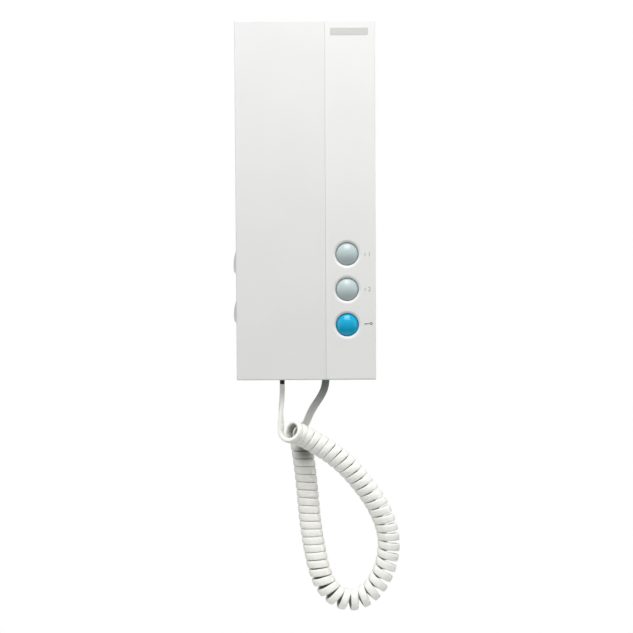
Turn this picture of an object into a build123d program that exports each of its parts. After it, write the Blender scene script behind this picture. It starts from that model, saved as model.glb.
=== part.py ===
from build123d import *
from math import cos, radians, sin, sqrt, tan
import os

# Audio intercom handset for a wall: a moulded base with a column of three push buttons, a
# full-height handset that lies beside the column, and a flat curly cord between the two.
# Millimetres. X is to the right and Z up as the caller sees it, and the front faces -Y.
# The origin is the centre of the two wall screws, on the back plane. A depth is a distance
# from the wall towards the front.

# Body
body_width = 86.0
body_height = 220.0
body_depth = 46.0
wall = 2.0
edge_radius = 1.2
rear_depth = 11.0
cradle_depth = 20.0
column_width = 30.8

# Handset
seam = 0.4
handset_inset = 0.4
handset_wall = 1.8
rest_gap = 0.3
split_depth = 33.0
grip_hollow = 7.0
grip_end_gap = 13.0
grip_ramp = 17.0
cup_margin = 5.2
cup_height = 5.5
cup_clearance = 1.25
cup_end_distance = 30.0
cup_chamfer = 1.2

# Wall fixing and cable entry
wall_screw_spacing = 84.0
wall_screw_radius = 2.25
entry_width = 28.0
entry_height = 22.0
entry_centre = 6.0

# Push buttons, at heights above the bottom edge
button_offset = 2.5
upper_button_height = 77.4
button_pitch = 21.75
button_radius = 6.8
button_gap = 0.45
button_lip = 1.8
button_rise = 1.7
button_edge = 1.9
button_flange = 1.4
flange_overlap = 0.8
button_travel = 0.8
stem_side = 3.2

# Boards and what they carry, at heights above the bottom edge
board_thickness = 1.6
main_board_depth = 5.0
main_board_left_gap = 3.5
main_board_right_gap = 2.5
main_board_start = 14.0
main_board_over_screw = 22.0
board_rib = 5.0
board_margin = 1.0
screwdriver_radius = 6.0
button_board_depth = 28.0
button_board_width = 25.0
button_board_start = 18.4
button_board_length = 74.6
header_width = 2.5
header_length = 20.0
switch_side = 6.2
switch_height = 3.8
switch_bore_depth = 2.2
buzzer_start = 26.0
buzzer_radius = 10.0
buzzer_height = 9.0
terminal_ways = 8
terminal_pitch = 5.0
terminal_depth = 8.0
terminal_height = 9.0
terminal_screw_radius = 1.5
terminal_screw_height = 1.2
terminal_margin = 2.5

# Screw that holds the front housing, under the handset
fit_gap = 0.05
case_screw_distance = 12.75
case_screw_radius = 1.5
case_screw_head = 3.0
case_screw_head_height = 1.0
case_screw_length = 11.0
case_post_side = 8.0

# Hook
hook_distance = 7.25
hook_side = 5.0
hook_chamfer = 0.8
hook_flange_side = 8.0
hook_flange_height = 1.0
hook_travel = 3.0
hook_tip_side = 3.0
hook_tip_length = 5.0
hook_switch_width = 12.8
hook_switch_side = 8.0
hook_switch_height = 5.6

# Side knobs
ringer_knob_drop = 17.9
knob_spacing = 31.1
knob_length = 15.2
knob_rise = 2.5
knob_width = 5.0
knob_base = 1.2
knob_depth = 8.4
knob_neck_length = 5.0
knob_neck_width = 2.0
knob_travel = 3.0
slide_switch_length = 12.0
slide_switch_width = 5.0
slide_switch_height = 3.8
running_gap = 0.3

# Earpiece and microphone
earpiece_margin = 3.2
earpiece_height = 7.0
earpiece_plate = 2.0
earpiece_rim = 2.0
diaphragm_thickness = 0.5
diaphragm_recess = 1.2
magnet_share = 8 / 15
magnet_height = 2.8
sound_hole_radius = 1.2
sound_hole_circle = 5.5
sound_holes = 6
microphone_radius = 4.85
microphone_height = 5.0
microphone_holder_wall = 2.6

# Cord
cord_side = 2.5
cord_lead = 3.0
boot_radius = 1.7
boot_end_radius = 1.5
boot_length = 3.5
boot_flange_side = 6.6
boot_flange_height = 1.6
grommet_side = 5.8
grommet_flange_side = 8.2
grommet_flange_height = 1.5
handset_cord_offset = 0.4
base_cord_x = 12.3
base_cord_depth = 6.8

# Curls, with places under the middle of the bottom edge
curls = 50
curl_radius = 5.4
first_curl_flare = 2.8
first_curl_turns = 0.75
curl_pitch = 4.85
curl_first_pitch = 5.3
curl_front_pitch = 5.6
curl_open_pitch = 6.2
pitch_place_shares = [0, 0.12, 0.34, 0.42, 0.62, 0.7, 1]
curl_start_angle = -20.0
curl_end_angle = 10.0
curl_quarters = 4
axis_stations = 400
heading_count_share = 0.01
curl_axis_points = [
    (-9.8, -40.5, -31.4),
    (-4.8, -36.2, -33.9),
    (5.0, -33.5, -39.8),
    (20.0, -33.5, -49.6),
    (33.0, -33.0, -63.2),
    (45.2, -32.0, -80.8),
    (51.4, -30.6, -98.6),
    (50.4, -29.2, -114.6),
    (45.8, -28.1, -126.6),
    (39.8, -27.3, -135.2),
    (31.4, -26.4, -140.4),
    (21.6, -25.5, -140.2),
    (13.4, -24.7, -134.4),
    (8.4, -23.8, -125.4),
    (4.8, -22.4, -110.4),
    (1.9, -20.5, -92.0),
    (0.2, -18.5, -72.5),
    (-1.4, -16.5, -56.5),
    (-4.8, -14.8, -40.8),
    (-8.4, -14.0, -33.0),
]
handset_tail_run = 8.0
base_tail_first_run = 5.5
base_tail_points = [
    (5.0, -7.4, -20.2),
    (10.4, -7.0, -13.2),
]
base_tail_last_run = 6.2
corner_run_share = 0.45
samples_per_curl = 12

# Worked out from the sizes above
half_width = body_width / 2
half_height = body_height / 2
column_left = half_width - column_width
column_middle = half_width - column_width / 2
handset_left = -half_width + handset_inset
handset_right = column_left - seam
handset_width = handset_right - handset_left
handset_x = (handset_left + handset_right) / 2
handset_cord_x = handset_x + handset_cord_offset
handset_back = cradle_depth + rest_gap
cup_radius = handset_width / 2 - cup_margin
cup_offset = half_height - cup_end_distance
cup_depth = handset_back - cup_height
cup_floor = cup_depth + handset_wall
pocket_radius = cup_radius + cup_clearance
pocket_depth = cup_height + rest_gap
grip_depth = handset_back + grip_hollow
grip_length = (cup_offset - cup_radius - grip_end_gap) * 2
grip_flat = grip_length - grip_ramp * 2
front_inner = body_depth - wall
cradle_inner = cradle_depth - wall
button_hole_radius = button_radius + button_gap
button_x = column_middle - button_offset
upper_button_z = upper_button_height - half_height
button_places = [upper_button_z - button_pitch * i for i in range(3)]
main_board_left = -half_width + wall + main_board_left_gap
main_board_right = half_width - wall - main_board_right_gap
main_board_bottom = main_board_start - half_height
main_board_top = main_board_over_screw - wall_screw_spacing / 2
main_board_front = main_board_depth + board_thickness
button_board_bottom = button_board_start - half_height
button_board_top = button_board_bottom + button_board_length
button_board_front = button_board_depth + board_thickness
switch_top = button_board_front + switch_height
wall_screw_places = [(0, wall_screw_spacing / 2), (0, -wall_screw_spacing / 2)]
rib_inset = board_rib / 2 + board_margin
main_rib_places = [
    (x, z)
    for x in (main_board_left + rib_inset, main_board_right - rib_inset)
    for z in (main_board_bottom + rib_inset, main_board_top - rib_inset)
]
button_rib_places = [
    (column_middle + side * (button_board_width / 2 - rib_inset), z)
    for side in (-1, 1)
    for z in (button_board_bottom + rib_inset, button_board_top - rib_inset)
]
cup_places = [(handset_x, cup_offset), (handset_x, -cup_offset)]
board_middle = (button_board_bottom + button_board_top) / 2
hook_z = pocket_radius + hook_distance - cup_offset
case_screw_z = cup_offset - pocket_radius - case_screw_distance
ringer_knob_z = main_board_top - ringer_knob_drop
volume_knob_z = ringer_knob_z - knob_spacing
earpiece_radius = cup_radius - handset_wall - earpiece_margin
diaphragm_radius = earpiece_radius - earpiece_rim
magnet_radius = diaphragm_radius * magnet_share


# A plane across the body at a depth, whose normal points to the front
def at_depth(depth):
    return Plane.XZ.offset(depth)


# A plane that holds an axis square to the wall: its x is a radius and its y a depth
def beside_axis(x, z):
    return Plane(origin=(x, 0, z), x_dir=(1, 0, 0), z_dir=(0, 0, -1))


def axis_at(x, z):
    return Axis((x, 0, z), (0, -1, 0))


# Rear base: a tray against the wall
with BuildPart() as rear_base:
    with BuildSketch(at_depth(0)):
        Rectangle(body_width, body_height)
    extrude(amount=rear_depth)
    offset(amount=-wall, openings=rear_base.faces().sort_by(Axis.Y)[0])
    with BuildSketch(at_depth(wall)):
        with Locations(*main_rib_places):
            Rectangle(board_rib, board_rib)
    extrude(amount=main_board_depth - wall)
    with BuildSketch(at_depth(wall)):
        with Locations((handset_x, case_screw_z)):
            Rectangle(case_post_side, case_post_side)
    extrude(amount=cradle_inner - wall)
    with BuildSketch(at_depth(cradle_inner)):
        with Locations((handset_x, case_screw_z)):
            RegularPolygon(case_screw_radius + fit_gap, 6)
    extrude(amount=-case_screw_length, mode=Mode.SUBTRACT)
    with BuildSketch(at_depth(0)):
        with Locations(*wall_screw_places):
            Circle(wall_screw_radius)
        with Locations((0, entry_centre)):
            Rectangle(entry_width, entry_height)
    extrude(amount=wall, mode=Mode.SUBTRACT)
    with BuildSketch(Plane.YZ.offset(-half_width)):
        with Locations((-knob_depth, ringer_knob_z), (-knob_depth, volume_knob_z)):
            slot_length = knob_neck_length + knob_travel + running_gap * 2
            Rectangle(knob_neck_width + running_gap * 2, slot_length)
    extrude(amount=wall, mode=Mode.SUBTRACT)
    with BuildSketch(Plane.XY.offset(-half_height)):
        with Locations((base_cord_x, -base_cord_depth)):
            Rectangle(grommet_side + fit_gap * 2, grommet_side + fit_gap * 2)
    extrude(amount=wall, mode=Mode.SUBTRACT)
rear_base.part.label = "rear_base"

# Front housing: a stepped shell, the cradle on the left and the column on the right
with BuildPart() as front_housing:
    with BuildSketch(Plane.XY.offset(-half_height)):
        with BuildLine():
            Polyline(
                (-half_width, -rear_depth),
                (half_width, -rear_depth),
                (half_width, -body_depth),
                (column_left, -body_depth),
                (column_left, -cradle_depth),
                (-half_width, -cradle_depth),
                close=True,
            )
        make_face()
    extrude(amount=body_height)
    with BuildSketch(at_depth(cradle_depth)):
        with Locations(*cup_places):
            Circle(pocket_radius)
    extrude(amount=-pocket_depth, mode=Mode.SUBTRACT)
    offset(amount=-wall, openings=front_housing.faces().sort_by(Axis.Y)[-1])
    column_face = front_housing.faces().sort_by(Axis.Y)[0]
    fillet(column_face.edges(), radius=edge_radius)
    with BuildSketch(at_depth(front_inner)):
        with Locations(*button_rib_places):
            Rectangle(board_rib, board_rib)
    extrude(amount=-(front_inner - button_board_front))
    with BuildSketch(at_depth(front_inner)):
        with Locations(*[(button_x, z) for z in button_places]):
            Circle(button_hole_radius)
    extrude(amount=wall, mode=Mode.SUBTRACT)
    button_rims = front_housing.edges().filter_by(GeomType.CIRCLE).group_by(Axis.Y)[0]
    chamfer(button_rims, length=button_lip)
    with BuildSketch(at_depth(cradle_inner)):
        with Locations((handset_x, hook_z)):
            Rectangle(hook_side + running_gap * 2, hook_side + running_gap * 2)
        with Locations((handset_x, case_screw_z)):
            RegularPolygon(case_screw_radius + fit_gap, 6)
    extrude(amount=wall, mode=Mode.SUBTRACT)
    with BuildSketch(at_depth(cradle_depth)):
        with Locations((handset_x, case_screw_z)):
            Circle(case_screw_head + fit_gap)
    extrude(amount=-case_screw_head_height, mode=Mode.SUBTRACT)
front_housing.part.label = "front_housing"

# Main circuit board, with a hole for the screwdriver to the lower wall screw
with BuildPart() as main_board:
    with BuildSketch(at_depth(main_board_depth)):
        with BuildLine():
            Polyline(
                (main_board_left, main_board_bottom),
                (main_board_right, main_board_bottom),
                (main_board_right, main_board_top),
                (main_board_left, main_board_top),
                close=True,
            )
        make_face()
        with Locations((0, -wall_screw_spacing / 2)):
            Circle(screwdriver_radius, mode=Mode.SUBTRACT)
    extrude(amount=board_thickness)
main_board.part.label = "main_board"

# Button board, on ribs of the front housing
with BuildPart() as button_board:
    with BuildSketch(at_depth(button_board_depth)):
        with Locations((column_middle, board_middle)):
            Rectangle(button_board_width, button_board_top - button_board_bottom)
    extrude(amount=board_thickness)
button_board.part.label = "button_board"

# Pin header between the boards
header_x = column_middle + button_board_width / 2 - header_width
with BuildPart() as board_header:
    with BuildSketch(at_depth(main_board_front)):
        with Locations((header_x, board_middle)):
            Rectangle(header_width, header_length)
    extrude(amount=button_board_depth - main_board_front)
board_header.part.label = "board_header"

# Screw through the cradle into the post of the rear base
case_screw_seat = cradle_depth - case_screw_head_height
with BuildPart() as housing_screw:
    with BuildSketch(at_depth(case_screw_seat)):
        with Locations((handset_x, case_screw_z)):
            RegularPolygon(case_screw_radius, 6)
    extrude(amount=-case_screw_length)
    with BuildSketch(at_depth(case_screw_seat)):
        with Locations((handset_x, case_screw_z)):
            Circle(case_screw_head)
    extrude(amount=case_screw_head_height)
housing_screw.part.label = "housing_screw"

# Terminal block for the wall cable, at the top edge of the main board
terminal_x = main_board_right - terminal_margin - terminal_ways * terminal_pitch / 2
terminal_z = main_board_top - terminal_depth
terminal_places = [
    (terminal_x + terminal_pitch * (i - (terminal_ways - 1) / 2), terminal_z)
    for i in range(terminal_ways)
]
terminal_top = main_board_front + terminal_height
with BuildPart() as terminal_block:
    with BuildSketch(at_depth(main_board_front)):
        with Locations((terminal_x, terminal_z)):
            Rectangle(terminal_ways * terminal_pitch, terminal_depth)
    extrude(amount=terminal_height)
    with BuildSketch(at_depth(terminal_top)):
        with Locations(*terminal_places):
            Rectangle(terminal_screw_radius * 2 + running_gap, terminal_screw_radius * 2 + running_gap)
    extrude(amount=-terminal_screw_height * 2, mode=Mode.SUBTRACT)
terminal_block.part.label = "terminal_block"

with BuildPart() as terminal_screws:
    with BuildSketch(at_depth(terminal_top - terminal_screw_height * 2)):
        with Locations(*terminal_places):
            RegularPolygon(terminal_screw_radius, 6)
    extrude(amount=terminal_screw_height)
terminal_screws.part.label = "terminal_screws"

# Call buzzer
buzzer_x = button_x - button_gap
buzzer_z = main_board_bottom + buzzer_start
with BuildPart() as call_buzzer:
    with BuildSketch(at_depth(main_board_front)):
        with Locations((buzzer_x, buzzer_z)):
            Circle(buzzer_radius)
    extrude(amount=buzzer_height)
call_buzzer.part.label = "call_buzzer"

# Hook switch on the main board, and the plunger that the handset holds down
hook_switch_top = main_board_front + hook_switch_height
hook_flange_depth = cradle_inner - hook_travel - hook_flange_height - rest_gap
with BuildPart() as hook_switch:
    with BuildSketch(at_depth(main_board_front)):
        with Locations((handset_x, hook_z)):
            Rectangle(hook_switch_width, hook_switch_side)
    extrude(amount=hook_switch_height)
    with BuildSketch(at_depth(hook_switch_top)):
        with Locations((handset_x, hook_z)):
            Rectangle(hook_tip_side + running_gap * 2, hook_tip_side + running_gap * 2)
    extrude(amount=-hook_tip_length, mode=Mode.SUBTRACT)
hook_switch.part.label = "hook_switch"

with BuildPart() as hook_plunger:
    with BuildSketch(at_depth(hook_flange_depth)):
        with Locations((handset_x, hook_z)):
            Rectangle(hook_flange_side, hook_flange_side)
    extrude(amount=hook_flange_height)
    with BuildSketch(at_depth(hook_flange_depth + hook_flange_height)):
        with Locations((handset_x, hook_z)):
            Rectangle(hook_side, hook_side)
    extrude(amount=cradle_depth - hook_flange_depth - hook_flange_height)
    chamfer(hook_plunger.faces().sort_by(Axis.Y)[0].edges(), length=hook_chamfer)
    with BuildSketch(at_depth(hook_flange_depth)):
        with Locations((handset_x, hook_z)):
            Rectangle(hook_tip_side, hook_tip_side)
    extrude(amount=-hook_tip_length)
hook_plunger.part.label = "hook_plunger"


# A push switch on the button board, with the square bore that takes the stem of its button
def make_switch(z):
    with BuildPart() as switch:
        with BuildSketch(at_depth(button_board_front)):
            with Locations((button_x, z)):
                Rectangle(switch_side, switch_side)
        extrude(amount=switch_height)
        with BuildSketch(at_depth(switch_top)):
            with Locations((button_x, z)):
                Rectangle(stem_side + running_gap, stem_side + running_gap)
        extrude(amount=-switch_bore_depth, mode=Mode.SUBTRACT)
    return switch


# A domed button with a square flange behind the front wall and a stem to its switch
def make_button(z):
    flange_front = front_inner - rest_gap
    dome_edge = body_depth - button_edge
    dome_top = body_depth + button_rise
    flange_side = (button_hole_radius + flange_overlap) * 2
    with BuildPart() as button:
        with BuildSketch(beside_axis(button_x, z)):
            with BuildLine():
                dome = TangentArc((0, dome_top), (button_radius, dome_edge), tangent=(1, 0))
                Polyline(dome @ 1, (button_radius, flange_front), (0, flange_front), dome @ 0)
            make_face()
        revolve(axis=axis_at(button_x, z))
        with BuildSketch(at_depth(flange_front)):
            with Locations((button_x, z)):
                Rectangle(flange_side, flange_side)
        extrude(amount=-button_flange)
        with BuildSketch(at_depth(flange_front - button_flange)):
            with Locations((button_x, z)):
                Rectangle(stem_side, stem_side)
        extrude(amount=-(flange_front - button_flange - switch_top + rest_gap))
    return button


upper_switch, middle_switch, door_switch = [make_switch(z) for z in button_places]
upper_switch.part.label = "upper_switch"
middle_switch.part.label = "middle_switch"
door_switch.part.label = "door_switch"
upper_button, middle_button, door_button = [make_button(z) for z in button_places]
upper_button.part.label = "upper_button"
middle_button.part.label = "middle_button"
door_button.part.label = "door_button"

switch_left = main_board_left
neck_end = switch_left + knob_neck_width / 2


# A slide switch at the left edge of the main board, with the groove that takes the knob's neck
def make_slide_switch(z):
    with BuildPart() as switch:
        with BuildSketch(at_depth(main_board_front)):
            with Locations((switch_left + slide_switch_width / 2, z)):
                Rectangle(slide_switch_width, slide_switch_length)
        extrude(amount=slide_switch_height)
        with BuildSketch(Plane.YZ.offset(switch_left)):
            with Locations((-knob_depth, z)):
                groove_length = knob_neck_length + knob_travel + running_gap * 2
                Rectangle(knob_neck_width + running_gap, groove_length)
        extrude(amount=knob_neck_width / 2 + running_gap, mode=Mode.SUBTRACT)
    return switch


# A side knob: a shallow lens outside the wall, on a neck that passes through its slot
def make_knob(z):
    knob_foot = -half_width - rest_gap
    knob_face = knob_foot - knob_base
    neck_z = z - knob_travel / 2
    with BuildPart() as knob:
        with BuildSketch(at_depth(knob_depth - knob_width / 2)):
            with BuildLine():
                Polyline(
                    (knob_face, z + knob_length / 2),
                    (knob_foot, z + knob_length / 2),
                    (knob_foot, z - knob_length / 2),
                    (knob_face, z - knob_length / 2),
                )
                ThreePointArc(
                    (knob_face, z - knob_length / 2),
                    (knob_foot - knob_rise, z),
                    (knob_face, z + knob_length / 2),
                )
            make_face()
        extrude(amount=knob_width)
        with BuildSketch(Plane.YZ.offset(knob_foot)):
            with Locations((-knob_depth, neck_z)):
                Rectangle(knob_neck_width, knob_neck_length)
        extrude(amount=neck_end - knob_foot)
    return knob


ringer_switch = make_slide_switch(ringer_knob_z)
ringer_switch.part.label = "ringer_switch"
volume_switch = make_slide_switch(volume_knob_z)
volume_switch.part.label = "volume_switch"
ringer_knob = make_knob(ringer_knob_z)
ringer_knob.part.label = "ringer_knob"
volume_knob = make_knob(volume_knob_z)
volume_knob.part.label = "volume_knob"

# Grommet in the bottom wall of the base, which holds the cord
with BuildPart() as base_cord_grommet:
    with BuildSketch(Plane.XY.offset(-half_height)):
        with Locations((base_cord_x, -base_cord_depth)):
            Rectangle(grommet_side, grommet_side)
    extrude(amount=wall)
    with BuildSketch(Plane.XY.offset(-half_height + wall)):
        with Locations((base_cord_x, -base_cord_depth)):
            Rectangle(grommet_flange_side, grommet_flange_side)
    extrude(amount=grommet_flange_height)
base_cord_grommet.part.label = "base_cord_grommet"

# Handset, outer shell: the face that the caller sees
with BuildPart() as handset_outer_shell:
    with BuildSketch(at_depth(split_depth)):
        with Locations((handset_x, 0)):
            Rectangle(handset_width, body_height)
    extrude(amount=body_depth - split_depth)
    offset(amount=-handset_wall, openings=handset_outer_shell.faces().sort_by(Axis.Y)[-1])
    fillet(handset_outer_shell.faces().sort_by(Axis.Y)[0].edges(), radius=edge_radius)
    with BuildSketch(Plane.XY.offset(-half_height)):
        with Locations((handset_cord_x, -split_depth)):
            Circle(boot_radius + fit_gap)
    extrude(amount=handset_wall, mode=Mode.SUBTRACT)
handset_outer_shell.part.label = "handset_outer_shell"

# Handset, inner shell: the hollowed grip and the two round cups that lie in the cradle
grip_ramp_middle = (grip_length + grip_flat) / 4
with BuildPart() as handset_inner_shell:
    with BuildSketch(Plane.YZ.offset(handset_left)):
        with BuildLine():
            Polyline(
                (-handset_back, grip_length / 2),
                (-handset_back, half_height),
                (-split_depth, half_height),
                (-split_depth, -half_height),
                (-handset_back, -half_height),
                (-handset_back, -grip_length / 2),
            )
            ramp_depth = (handset_back + grip_depth) / 2
            TangentArc((-handset_back, -grip_length / 2), (-ramp_depth, -grip_ramp_middle), tangent=(0, 1))
            TangentArc(
                (-grip_depth, -grip_flat / 2), (-ramp_depth, -grip_ramp_middle), tangent=(0, -1)
            )
            Line((-grip_depth, -grip_flat / 2), (-grip_depth, grip_flat / 2))
            TangentArc((-grip_depth, grip_flat / 2), (-ramp_depth, grip_ramp_middle), tangent=(0, 1))
            TangentArc((-handset_back, grip_length / 2), (-ramp_depth, grip_ramp_middle), tangent=(0, -1))
        make_face()
    extrude(amount=handset_width)
    with BuildSketch(at_depth(handset_back)):
        with Locations(*cup_places):
            Circle(cup_radius)
    extrude(amount=-cup_height)
    offset(amount=-handset_wall, openings=handset_inner_shell.faces().sort_by(Axis.Y)[0])
    cup_faces = handset_inner_shell.faces().sort_by(Axis.Y)[-2:]
    chamfer(cup_faces.edges(), length=cup_chamfer)
    with BuildSketch(at_depth(cup_depth)):
        with Locations((handset_x, cup_offset)):
            RegularPolygon(sound_hole_radius, 6)
            with PolarLocations(sound_hole_circle, sound_holes):
                RegularPolygon(sound_hole_radius, 6)
        with Locations((handset_x, -cup_offset)):
            RegularPolygon(sound_hole_radius, 6)
    extrude(amount=handset_wall, mode=Mode.SUBTRACT)
    with BuildSketch(Plane.XY.offset(-half_height)):
        with Locations((handset_cord_x, -split_depth)):
            Circle(boot_radius + fit_gap)
    extrude(amount=handset_wall, mode=Mode.SUBTRACT)
handset_inner_shell.part.label = "handset_inner_shell"

# Earpiece behind the sound holes of the upper cup
earpiece_back = cup_floor + earpiece_height
with BuildPart() as earpiece_frame:
    with BuildSketch(beside_axis(handset_x, cup_offset)):
        with BuildLine():
            Polyline(
                (diaphragm_radius + fit_gap, cup_floor),
                (earpiece_radius, cup_floor),
                (earpiece_radius, earpiece_back),
                (0, earpiece_back),
                (0, earpiece_back - earpiece_plate),
                (diaphragm_radius + fit_gap, earpiece_back - earpiece_plate),
                close=True,
            )
        make_face()
    revolve(axis=axis_at(handset_x, cup_offset))
earpiece_frame.part.label = "earpiece_frame"

with BuildPart() as earpiece_diaphragm:
    with BuildSketch(at_depth(cup_floor + diaphragm_recess)):
        with Locations((handset_x, cup_offset)):
            Circle(diaphragm_radius)
    extrude(amount=-diaphragm_thickness)
earpiece_diaphragm.part.label = "earpiece_diaphragm"

with BuildPart() as earpiece_magnet:
    with BuildSketch(at_depth(earpiece_back - earpiece_plate)):
        with Locations((handset_x, cup_offset)):
            Circle(magnet_radius)
    extrude(amount=-magnet_height)
earpiece_magnet.part.label = "earpiece_magnet"

# Microphone in its rubber holder, behind the hole of the lower cup
with BuildPart() as microphone_holder:
    with BuildSketch(at_depth(cup_floor)):
        with Locations((handset_x, -cup_offset)):
            Circle(microphone_radius + fit_gap + microphone_holder_wall)
            Circle(microphone_radius + fit_gap, mode=Mode.SUBTRACT)
    extrude(amount=microphone_height)
microphone_holder.part.label = "microphone_holder"

with BuildPart() as microphone:
    with BuildSketch(at_depth(cup_floor)):
        with Locations((handset_x, -cup_offset)):
            Circle(microphone_radius)
    extrude(amount=microphone_height)
microphone.part.label = "microphone"

# Boot of the handset's cord, held between the two shells
boot_end_z = -half_height - boot_length
with BuildPart() as handset_cord_boot:
    boot_plane = Plane(origin=(handset_cord_x, -split_depth, 0), x_dir=(1, 0, 0), z_dir=(0, -1, 0))
    with BuildSketch(boot_plane):
        with BuildLine():
            Polyline(
                (0, boot_end_z),
                (boot_end_radius, boot_end_z),
                (boot_radius, -half_height),
                (boot_radius, -half_height + handset_wall),
                (0, -half_height + handset_wall),
                close=True,
            )
        make_face()
    revolve(axis=Axis((handset_cord_x, -split_depth, 0), (0, 0, 1)))
    with BuildSketch(Plane.XY.offset(-half_height + handset_wall)):
        with Locations((handset_cord_x, -split_depth)):
            Rectangle(boot_flange_side, boot_flange_side)
    extrude(amount=boot_flange_height)
handset_cord_boot.part.label = "handset_cord_boot"

# Axis of the curls: a smooth line that touches the middle of each run between its points
bottom_edge = Vector(0, 0, -half_height)
axis_points = [bottom_edge + Vector(*point) for point in curl_axis_points]
middles = [(a + b) / 2 for a, b in zip(axis_points[1:-2], axis_points[2:-1])]
joints = [axis_points[0], *middles, axis_points[-1]]
with BuildLine() as curl_axis_line:
    for start, corner, end in zip(joints, axis_points[1:-1], joints[1:]):
        Bezier(start, corner, end)
curl_axis = curl_axis_line.wire()
step_share = 1 / axis_stations
pitches = [
    curl_first_pitch,
    curl_pitch,
    curl_front_pitch,
    curl_open_pitch,
    curl_open_pitch,
    curl_pitch,
    curl_pitch,
]


# Curls lie close where the cord hangs straight, and open round the bend
def pitch_at(share):
    places = list(zip(pitch_place_shares, pitches))
    for (start, start_pitch), (end, end_pitch) in zip(places, places[1:]):
        if share <= end:
            return start_pitch + (end_pitch - start_pitch) * (share - start) / (end - start)
    return curl_pitch


turned = [0.0]
for i in range(axis_stations):
    turned.append(turned[-1] + 1 / pitch_at(i * step_share + step_share / 2))


# The share of the axis at which a curl's count is reached
def share_at(count):
    reached = count / curls * turned[-1]
    i = max(i for i in range(axis_stations) if turned[i] <= reached)
    return (i + (reached - turned[i]) / (turned[i + 1] - turned[i])) * step_share


# The middle of the cord at a curl's count: the helix is left-handed
def curl_point(count):
    share = min(share_at(count), 1)
    along = curl_axis.tangent_at(share)
    to_wall = (Vector(0, 1, 0) - along * along.Y).normalized()
    beside = along.cross(to_wall)
    swept = 360 * curls - (curl_end_angle - curl_start_angle)
    angle = radians(curl_start_angle - swept * count / curls)
    flare = first_curl_flare * max(1 - count / first_curl_turns, 0) ** 2
    reach = curl_radius + flare
    return curl_axis.position_at(share) + (to_wall * cos(angle) + beside * sin(angle)) * reach


def curl_heading(count):
    after = curl_point(min(count + heading_count_share, curls))
    before = curl_point(max(count - heading_count_share, 0))
    return (after - before).normalized()


# Two tangent arcs between two points with given headings
def add_biarc(start, start_heading, end, end_heading):
    chord = end - start
    both = start_heading + end_heading
    a = 2 * (1 - start_heading.dot(end_heading))
    b = chord.dot(both)
    arm = (sqrt(b * b + a * chord.dot(chord)) - b) / a
    start_corner = start + start_heading * arm
    end_corner = end - end_heading * arm
    joint = (start_corner + end_corner) / 2
    first = TangentArc(start, joint, tangent=start_heading)
    second = TangentArc(joint, end, tangent=end_corner - start_corner)
    return [first, second]


curl_counts = [i / curl_quarters for i in range(curls * curl_quarters + 1)]
curl_points = [curl_point(count) for count in curl_counts]
curl_headings = [curl_heading(count) for count in curl_counts]
coil_start = curl_points[0] - curl_headings[0] * cord_lead
coil_end = curl_points[-1] + curl_headings[-1] * cord_lead


# A square section at the start of a length of cord
def section_plane(start, heading):
    return Plane(origin=start, x_dir=heading.cross(Vector(0, 1, 0)), z_dir=heading)


pieces = [Line(coil_start, curl_points[0])]
for i in range(len(curl_counts) - 1):
    pieces += add_biarc(curl_points[i], curl_headings[i], curl_points[i + 1], curl_headings[i + 1])
pieces.append(Line(curl_points[-1], coil_end))
coil_path = Wire(pieces)
with BuildPart() as curly_cord:
    with BuildSketch(section_plane(coil_start, curl_headings[0])):
        Rectangle(cord_side, cord_side)
    sweep(path=coil_path, clean=False)
curly_cord.part.label = "curly_cord"


# The radius of each corner of a tail's route, by its shorter run and its turn
def corner_radii(points):
    radii = []
    for before, corner, after in zip(points, points[1:], points[2:]):
        run_in, run_out = corner - before, after - corner
        half_turn = radians(run_in.get_angle(run_out)) / 2
        radii.append(corner_run_share * min(run_in.length, run_out.length) / tan(half_turn))
    return radii


# A straight or gently bent length of cord along a route
def make_tail(name, points):
    radii = corner_radii(points)
    with BuildPart() as tail:
        with BuildLine() as route:
            FilletPolyline(*points, radius=radii)
        with BuildSketch(section_plane(points[0], (points[1] - points[0]).normalized())):
            Rectangle(cord_side, cord_side)
        sweep(path=route.wire(), clean=False)
    volume_share = tail.part.volume / (cord_side**2 * route.wire().length)
    print(name, "radii", [round(radius, 1) for radius in radii], "volume share", round(volume_share, 3))
    return tail


boot_end = Vector(handset_cord_x, -split_depth, boot_end_z)
handset_tail_points = [
    boot_end,
    boot_end - Vector(0, 0, handset_tail_run),
    coil_start - curl_headings[0] * handset_tail_run,
    coil_start,
]
handset_cord_tail = make_tail("handset_cord_tail", handset_tail_points)
handset_cord_tail.part.label = "handset_cord_tail"

base_exit = Vector(base_cord_x, -base_cord_depth, -half_height)
base_tail_route = [
    coil_end,
    coil_end + curl_headings[-1] * base_tail_first_run,
    *[bottom_edge + Vector(*point) for point in base_tail_points],
    base_exit - Vector(0, 0, base_tail_last_run),
    base_exit,
]
base_cord_tail = make_tail("base_cord_tail", base_tail_route)
base_cord_tail.part.label = "base_cord_tail"

# The least gap between two curls, measured on points along the cord
samples = [curl_point(i / samples_per_curl) for i in range(curls * samples_per_curl + 1)]
nearest = min(
    (samples[j] - samples[i]).length
    for i in range(len(samples))
    for j in range(i + samples_per_curl // 2, min(i + samples_per_curl * 2, len(samples)))
)
sparse = samples[:: samples_per_curl // 4]
far_nearest = min(
    (sparse[j] - sparse[i]).length
    for i in range(len(sparse))
    for j in range(i + samples_per_curl * 2, len(sparse))
)
cord_diagonal = cord_side * sqrt(2)
print("curls", curls, "cord in curls", round(coil_path.length, 1))
print("least gap between neighbouring curls", round(nearest - cord_diagonal, 2))
print("least gap between distant curls", round(far_nearest - cord_diagonal, 2))
print("coil volume share", round(curly_cord.part.volume / (cord_side**2 * coil_path.length), 3))

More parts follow.
